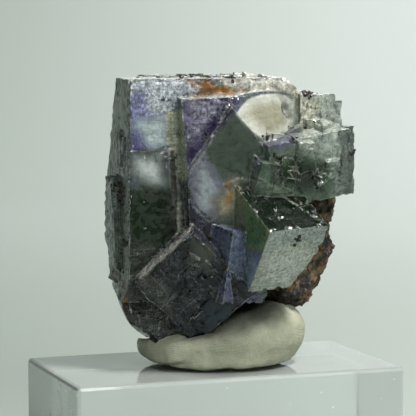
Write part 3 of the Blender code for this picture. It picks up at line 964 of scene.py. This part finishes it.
def scatter_tree():
    """Geometry nodes that set small rough grains on a surface, by its density attribute."""
    value = "NodeSocketFloat"
    sheet, given, out = new_group(
        "Scattered Grains", "GeometryNodeTree",
        [
            ("Geometry", "NodeSocketGeometry", None), ("Per Square Metre", value, 1000.0),
            ("Smallest", value, 0.0002), ("Largest", value, 0.0006), ("Seed", "NodeSocketInt", 0),
            ("Material", "NodeSocketMaterial", None),
        ],
        [("Geometry", "NodeSocketGeometry", None)],
    )
    wanted = sheet.add("GeometryNodeInputNamedAttribute", {"Name": "density"}, data_type="FLOAT")
    density = sheet.times(wanted.outputs["Attribute"], given["Per Square Metre"])
    spread = sheet.add(
        "GeometryNodeDistributePointsOnFaces",
        {"Mesh": given["Geometry"], "Density": density, "Seed": given["Seed"]},
    )
    ball = sheet.add("GeometryNodeMeshIcoSphere", {"Radius": 1.0, "Subdivisions": 1}).outputs[0]
    lump = sheet.add("ShaderNodeTexNoise", {"Scale": 0.9, "Detail": 0.0}).outputs["Color"]
    centred = sheet.vector_math("SUBTRACT", lump, MIDDLE)
    rough = sheet.add("GeometryNodeSetPosition", {"Geometry": ball, "Offset": centred}).outputs[0]
    sizes = sheet.add("FunctionNodeRandomValue", data_type="FLOAT")
    sheet.give(sizes.inputs[2], given["Smallest"])
    sheet.give(sizes.inputs[3], given["Largest"])
    sheet.give(sizes.inputs["Seed"], given["Seed"])
    turns = sheet.add("FunctionNodeRandomValue", data_type="FLOAT_VECTOR")
    turns.inputs[1].default_value = WHOLE_TURNS
    sheet.give(turns.inputs["Seed"], given["Seed"])
    placed = sheet.add(
        "GeometryNodeInstanceOnPoints",
        {"Points": spread.outputs["Points"], "Instance": rough, "Rotation": turns.outputs[0]},
    )
    sheet.give(placed.inputs["Scale"], sizes.outputs[1])
    real = sheet.add("GeometryNodeRealizeInstances", {"Geometry": placed.outputs[0]}).outputs[0]
    painted = sheet.add("GeometryNodeSetMaterial", {"Geometry": real, "Material": given["Material"]})
    sheet.give(out.inputs["Geometry"], painted.outputs[0])
    return sheet.tree


def scatter(name, surface, density, inputs):
    """A mesh object of grains on another object's surface. density gives each place's share, from 0 to 1."""
    tree = bpy.data.node_groups.get("Scattered Grains") or scatter_tree()
    obj = bpy.data.objects.new(name, surface.data.copy())
    bpy.context.scene.collection.objects.link(obj)
    shares = obj.data.attributes.new("density", "FLOAT", "POINT")
    to_specimen = SPECIMEN_PLACE.inverted()
    values = [density(to_specimen @ vert.co, vert.normal) for vert in obj.data.vertices]
    shares.data.foreach_set("value", np.array(values, np.float32))
    modifier = obj.modifiers.new("grains", "NODES")
    modifier.node_group = tree
    sockets = {item.name: item.identifier for item in tree.interface.items_tree if item.in_out == "INPUT"}
    for key, value in inputs.items():
        modifier[sockets[key]] = value
    return plain(obj)


def plain(obj):
    """Makes the object's evaluated result its own mesh and drops its modifiers."""
    bpy.context.view_layer.update()
    graph = bpy.context.evaluated_depsgraph_get()
    mesh = bpy.data.meshes.new_from_object(obj.evaluated_get(graph))
    obj.modifiers.clear()
    obj.data = mesh
    mesh.name = obj.name
    return obj


def object_of(editor, name, angle):
    """An object at the origin from an editor in the specimen's frame, shaded smooth below this angle."""
    editor.transform(SPECIMEN_PLACE)
    mesh = bpy.data.meshes.new(name)
    editor.to_mesh(mesh)
    editor.free()
    mesh.shade_smooth()
    mesh.set_sharp_from_angle(angle=angle)
    obj = bpy.data.objects.new(name, mesh)
    bpy.context.scene.collection.objects.link(obj)
    return obj


def settle(obj, slot, *replaced):
    """The piece goes with the block and stands for these solids. Its slot is not used."""
    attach(obj, "root")
    if replaced:
        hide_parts(*replaced)


class CrystalSettings(bpy.types.PropertyGroup):
    grain: FloatProperty(name="Finest edge", description="Longest mesh edge, mm", default=0.85)
    front_grain: FloatProperty(name="Finest front edge", description="Longest in front, mm", default=0.48)
    edge_sampling: FloatProperty(name="Edge sampling", description="Spacing on edges, mm", default=0.25)
    undulation: FloatProperty(name="Undulation", description="Rise and fall of the faces, mm", default=0.10)
    pit_depth: FloatProperty(name="Pit depth", description="Depth of the pits, mm", default=0.45)
    chip_depth: FloatProperty(name="Chip depth", description="Depth of the chips on edges, mm", default=0.8)
    chip_reach: FloatProperty(name="Chip reach", description="Reach of chips from edges, mm", default=1.1)
    clearness: FloatProperty(name="Clearness", description="Light let in", default=0.42, subtype="FACTOR")
    absorption: FloatProperty(name="Absorption", description="Light lost inside, per metre", default=14.0)
    deep_green: FloatVectorProperty(name="Deep green", description="Depths on screen", default=(66, 86, 66))
    grey_veil: FloatVectorProperty(name="Grey veil", description="Veils on screen", default=(142, 154, 146))
    violet: FloatVectorProperty(name="Violet", description="Zoned edges on screen", default=(76, 66, 118))


class GrainSettings(bpy.types.PropertyGroup):
    specks: FloatProperty(name="Specks", description="Per square metre at their spots", default=3000000.0)
    rock_edge: FloatProperty(name="Rock edge", description="Longest edge of the rock, mm", default=0.55)
    rock_grains: FloatProperty(name="Rock grains", description="Per square metre of rock", default=160000.0)
    seed: IntProperty(name="Seed", description="Seed of the scattered grains", default=5)


class PuttySettings(bpy.types.PropertyGroup):
    longest_edge: FloatProperty(name="Longest edge", description="Longest mesh edge, mm", default=0.6)
    fold_depth: FloatProperty(name="Fold depth", description="Depth of the fold at the foot, mm", default=0.9)
    spread: FloatProperty(name="Spread", description="How far the foot spreads forwards, mm", default=2.6)


class StageSettings(bpy.types.PropertyGroup):
    floor_reach: FloatProperty(name="Floor reach", description="Floor behind", default=0.55, unit="LENGTH")
    sweep: FloatProperty(name="Sweep", description="Radius to the backdrop", default=0.35, unit="LENGTH")
    key_power: FloatProperty(name="Key light", description="Light from the upper right, W", default=6.5)
    front_power: FloatProperty(name="Front light", description="Light from the front, W", default=1.9)
    rim_power: FloatProperty(name="Rim light", description="From the upper left, behind, W", default=0.4)
    wash_power: FloatProperty(name="Backdrop light", description="Light on the backdrop, W", default=2.7)
    world_strength: FloatProperty(name="Ambient", description="Strength of the ambient light", default=0.14)


class SPECIMEN_OT_crystals(bpy.types.Operator):
    """Makes the grown-together crystals, worn at their edges and coloured in zones"""

    bl_idname = "specimen.crystals"
    bl_label = "Crystals"

    def execute(self, context):
        settings = context.scene.specimen_crystals
        editor, edge_points = crystal_groundwork(settings)
        refine(editor, settings.grain, settings.front_grain)
        editor.normal_update()
        gaps = wear(editor, edge_points, settings)
        for vert in editor.verts:
            round_foot(vert)
            slope_corner(vert)
        editor.normal_update()
        places = np.array([tuple(vert.co) for vert in editor.verts])
        obj = object_of(editor, "fluorite_crystals", SHARP_ANGLE)
        note_panes(obj.data, places, gaps)
        obj.data.materials.append(fluorite_material(settings))
        settle(obj, "fluorite", "fluorite_cluster")
        return {"FINISHED"}


class SPECIMEN_OT_grains(bpy.types.Operator):
    """Scatters black specks over the crystals, thickly at a few spots"""

    bl_idname = "specimen.grains"
    bl_label = "Black specks"

    def execute(self, context):
        settings = context.scene.specimen_grains
        crystals = bpy.data.objects["fluorite_crystals"]

        def speck_density(place, normal):
            share = CAMERA_SPOT.y / (CAMERA_SPOT.y - place.y)
            seen = CAMERA_SPOT + (place - CAMERA_SPOT) * share
            if normal.dot(SPECIMEN_PLACE.to_3x3().normalized() @ (CAMERA_SPOT - place)) > 0:
                for across, up, radius in SPECK_SPOTS:
                    if math.hypot(seen.x - across, seen.z - up) < radius:
                        return 1.0
            patch = noise.noise(place * 0.22 + Vector((3, 9, 2)))
            return STRAY_SPECKS * max(0.0, patch + 0.1)

        specks = scatter(
            "black_specks", crystals, speck_density,
            {
                "Per Square Metre": settings.specks, "Smallest": 0.00010, "Largest": 0.00042,
                "Seed": settings.seed, "Material": speck_material(),
            },
        )
        settle(specks, "matrix_rock")
        return {"FINISHED"}


class SPECIMEN_OT_rock(bpy.types.Operator):
    """Makes the rock that the crystals grew on, with its grains"""

    bl_idname = "specimen.rock"
    bl_label = "Rock"

    def execute(self, context):
        settings = context.scene.specimen_grains
        editor = solid_of("matrix_rock")
        refine(editor, settings.rock_edge)
        editor.normal_update()
        moves = []
        for vert in editor.verts:
            place = vert.co
            lumps = noise.noise(place * 0.35) + 0.3 * noise.noise(place * 1.9)
            creases = 0.8 * abs(noise.noise(place * 0.75))
            moves.append(vert.normal * (0.9 * (lumps - creases) - 0.1))
        for vert, move in zip(editor.verts, moves):
            vert.co += move
        obj = object_of(editor, "rock", SHARP_ANGLE)
        obj.data.materials.append(rock_material())
        settle(obj, "matrix_rock", "matrix_rock")
        grains = scatter(
            "rock_grains", obj, lambda place, normal: max(0.0, 0.5 + noise.noise(place * 0.5)),
            {
                "Per Square Metre": settings.rock_grains, "Smallest": 0.0002, "Largest": 0.0008,
                "Seed": settings.seed + 2, "Material": bpy.data.materials["matrix_rock"],
            },
        )
        settle(grains, "matrix_rock")
        return {"FINISHED"}


class SPECIMEN_OT_putty(bpy.types.Operator):
    """Makes the pad of putty, with its prints, a fold at its foot and a painted shadow under the crystals"""

    bl_idname = "specimen.putty"
    bl_label = "Putty"

    def execute(self, context):
        settings = context.scene.specimen_putty
        editor = solid_of("putty")
        refine(editor, settings.longest_edge)
        editor.normal_update()
        moves = []
        for vert in editor.verts:
            place = vert.co
            dents = 0.30 * noise.noise(place * 0.24) + 0.09 * noise.noise(place * 0.8)
            along = place.x - FOLD_SPOT[0]
            above = place.z - FOLD_SPOT[1] - FOLD_SLOPE * along
            fold = math.exp(-((along / FOLD_SIZE[0]) ** 2) - (above / FOLD_SIZE[1]) ** 2)
            in_front = place.y < -5
            moves.append(vert.normal * (dents - 0.08 - settings.fold_depth * fold * in_front))
        for vert, move in zip(editor.verts, moves):
            vert.co += move
            spread = max(0.0, 1 - vert.co.z / 4.0) ** 2
            vert.co.y -= settings.spread * spread * min(1.0, max(0.0, -vert.co.y / 6.0))
            vert.co.z = max(vert.co.z, 0.05)
        to_specimen = SPECIMEN_PLACE.inverted()
        crystals = [to_specimen @ vert.co for vert in bpy.data.objects["fluorite_crystals"].data.vertices]
        gaps = nearest_distances(crystals, [vert.co for vert in editor.verts])
        obj = object_of(editor, "putty_pad", math.radians(40))
        # The painted shadow's reach: each point's gap to the crystals, widened with its distance across from
        # the shadow's middle.
        lighter = [PAINTED_SHADOW_FADE * abs(vert.co.x / MM - PAINTED_SHADOW_MIDDLE) for vert in obj.data.vertices]
        painted_shadow_attribute = obj.data.attributes.new("painted_shadow_distance", "FLOAT", "POINT")
        painted_shadow_attribute.data.foreach_set("value", np.array(gaps, np.float32) + np.array(lighter, np.float32))
        obj.data.materials.append(putty_material())
        settle(obj, "putty", "putty")
        return {"FINISHED"}


class SPECIMEN_OT_block(bpy.types.Operator):
    """Gives the display block its polished acrylic"""

    bl_idname = "specimen.block"
    bl_label = "Display block"

    def execute(self, context):
        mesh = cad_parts["acrylic_block"].data
        acrylic = acrylic_material()
        if not mesh.materials:
            mesh.materials.append(acrylic)
        for number in range(len(mesh.materials)):
            mesh.materials[number] = acrylic
        return {"FINISHED"}


def area_light(name, spot, target, size, power, colour):
    lamp = bpy.data.lights.new(name, "AREA")
    lamp.shape = "DISK"
    lamp.size = size
    lamp.energy = power
    lamp.color = colour
    obj = bpy.data.objects.new(name, lamp)
    way = Vector(target) - Vector(spot)
    obj.matrix_world = Matrix.Translation(spot) @ way.to_track_quat("-Z", "Y").to_matrix().to_4x4()
    bpy.context.scene.collection.objects.link(obj)


def turned(x, y, z):
    """A place given across, back and up as the camera sees it, in metres from the block's underside."""
    return Matrix.Rotation(SPECIMEN_TURN, 3, "Z") @ Vector((x, y, z))


class SPECIMEN_OT_stage(bpy.types.Operator):
    """Sets up the pale floor and backdrop with painted light and shade on them, the soft lights and the
    camera
    """

    bl_idname = "specimen.stage"
    bl_label = "Stage"

    def execute(self, context):
        settings = context.scene.specimen_stage
        self.add_backdrop(settings)
        self.add_camera(context)
        middle = turned(0, 0, 0.05)
        area_light("key", turned(0.24, -0.10, 0.64), middle, 0.18, settings.key_power, (1, 0.99, 0.96))
        area_light("front", turned(0.25, -0.55, 0.45), middle, 0.30, settings.front_power, (0.97, 0.99, 1))
        area_light("rim", turned(-0.35, 0.20, 0.55), middle, 0.12, settings.rim_power, (0.94, 0.97, 1))
        floor_spot = turned(0.14, 0.78, 0)
        area_light("wash", turned(0.16, 0.85, 0.55), floor_spot, 0.45, settings.wash_power, (1, 1, 1))
        context.scene.view_settings.view_transform = "Standard"
        world = bpy.data.worlds.new("studio")
        world.use_nodes = True
        world.node_tree.nodes["Background"].inputs["Color"].default_value = (0.86, 0.92, 0.88, 1)
        world.node_tree.nodes["Background"].inputs["Strength"].default_value = settings.world_strength
        context.scene.world = world
        return {"FINISHED"}

    def add_backdrop(self, settings):
        profile = [(-1.2, 0.0), (settings.floor_reach, 0.0)]
        for step in range(1, 17):
            angle = math.pi / 2 * step / 16
            back = settings.floor_reach + settings.sweep * math.sin(angle)
            profile.append((back, settings.sweep * (1 - math.cos(angle))))
        profile.append((settings.floor_reach + settings.sweep, 1.8))
        editor = bmesh.new()
        rows = [[editor.verts.new(turned(across, y, z)) for y, z in profile] for across in (-2.0, 2.0)]
        for left, right, right_next, left_next in zip(rows[0], rows[1], rows[1][1:], rows[0][1:]):
            editor.faces.new((left, right, right_next, left_next))
        mesh = bpy.data.meshes.new("backdrop")
        editor.to_mesh(mesh)
        editor.free()
        mesh.shade_smooth()
        obj = bpy.data.objects.new("backdrop", mesh)
        bpy.context.scene.collection.objects.link(obj)
        made, sheet, shader, place = new_material("backdrop")
        unturned = sheet.add("ShaderNodeMapping", {"Vector": place, "Rotation": (0, 0, -SPECIMEN_TURN)})
        parts = sheet.add("ShaderNodeSeparateXYZ", {"Vector": unturned.outputs[0]}).outputs
        across, away = parts["X"], parts["Y"]
        # Painted light and shade on the backdrop: darker to the left and near the front, lighter to the right
        # and far back.
        share = sheet.step(across, -200, 220)
        far = sheet.mix(share, display(180, 190, 182), display(212, 219, 216))
        near = sheet.mix(share, display(128, 138, 130), display(170, 178, 172))
        colour = sheet.mix(sheet.step(away, 80, 560), near, far)
        # Painted shade far off to the right, which darkens what right-facing faces reflect.
        colour = sheet.mix(sheet.step(across, 230, 420), colour, display(84, 92, 88))
        dress(sheet, shader, colour, 0.9)
        obj.data.materials.append(made)

    def add_camera(self, context):
        camera = bpy.data.cameras.new("camera")
        camera.lens = CAMERA_LENS
        camera.sensor_width = CAMERA_SENSOR
        camera.clip_start = 0.01
        obj = bpy.data.objects.new("camera", camera)
        upright = Matrix.Rotation(math.pi / 2 - CAMERA_PITCH, 4, "X")
        spot = Matrix.Translation(SPECIMEN_PLACE @ CAMERA_SPOT)
        obj.matrix_world = spot @ Matrix.Rotation(SPECIMEN_TURN, 4, "Z") @ upright
        context.scene.collection.objects.link(obj)
        context.scene.camera = obj


class SPECIMEN_PT_panel(bpy.types.Panel):
    """Lists the pieces of the specimen"""

    bl_idname = "SPECIMEN_PT_panel"
    bl_label = "Fluorite specimen"
    bl_space_type = "VIEW_3D"
    bl_region_type = "UI"
    bl_category = "Specimen"

    def draw(self, context):
        for title, group, operators in PANEL_ROWS:
            box = self.layout.box()
            box.label(text=title)
            settings = getattr(context.scene, group)
            for name in settings.bl_rna.properties.keys():
                if name not in ("rna_type", "name"):
                    box.prop(settings, name)
            for operator in operators:
                box.operator(operator)


PANEL_ROWS = (
    ("Stage", "specimen_stage", ("specimen.stage",)),
    ("Crystals", "specimen_crystals", ("specimen.crystals",)),
    ("Grains and rock", "specimen_grains", ("specimen.grains", "specimen.rock")),
    ("Putty and block", "specimen_putty", ("specimen.putty", "specimen.block")),
)

CLASSES = (
    CrystalSettings, GrainSettings, PuttySettings, StageSettings, SPECIMEN_OT_stage, SPECIMEN_OT_crystals,
    SPECIMEN_OT_grains, SPECIMEN_OT_rock, SPECIMEN_OT_putty, SPECIMEN_OT_block, SPECIMEN_PT_panel,
)


def register():
    for each in CLASSES:
        bpy.utils.register_class(each)
    bpy.types.Scene.specimen_crystals = PointerProperty(type=CrystalSettings)
    bpy.types.Scene.specimen_grains = PointerProperty(type=GrainSettings)
    bpy.types.Scene.specimen_putty = PointerProperty(type=PuttySettings)
    bpy.types.Scene.specimen_stage = PointerProperty(type=StageSettings)


def unregister():
    for name in ("specimen_crystals", "specimen_grains", "specimen_putty", "specimen_stage"):
        delattr(bpy.types.Scene, name)
    for each in reversed(CLASSES):
        bpy.utils.unregister_class(each)


def main():
    register()
    make_shader_groups()
    bpy.ops.specimen.stage()
    bpy.ops.specimen.crystals()
    bpy.ops.specimen.grains()
    bpy.ops.specimen.rock()
    bpy.ops.specimen.putty()
    bpy.ops.specimen.block()


if __name__ == "__main__":
    main()
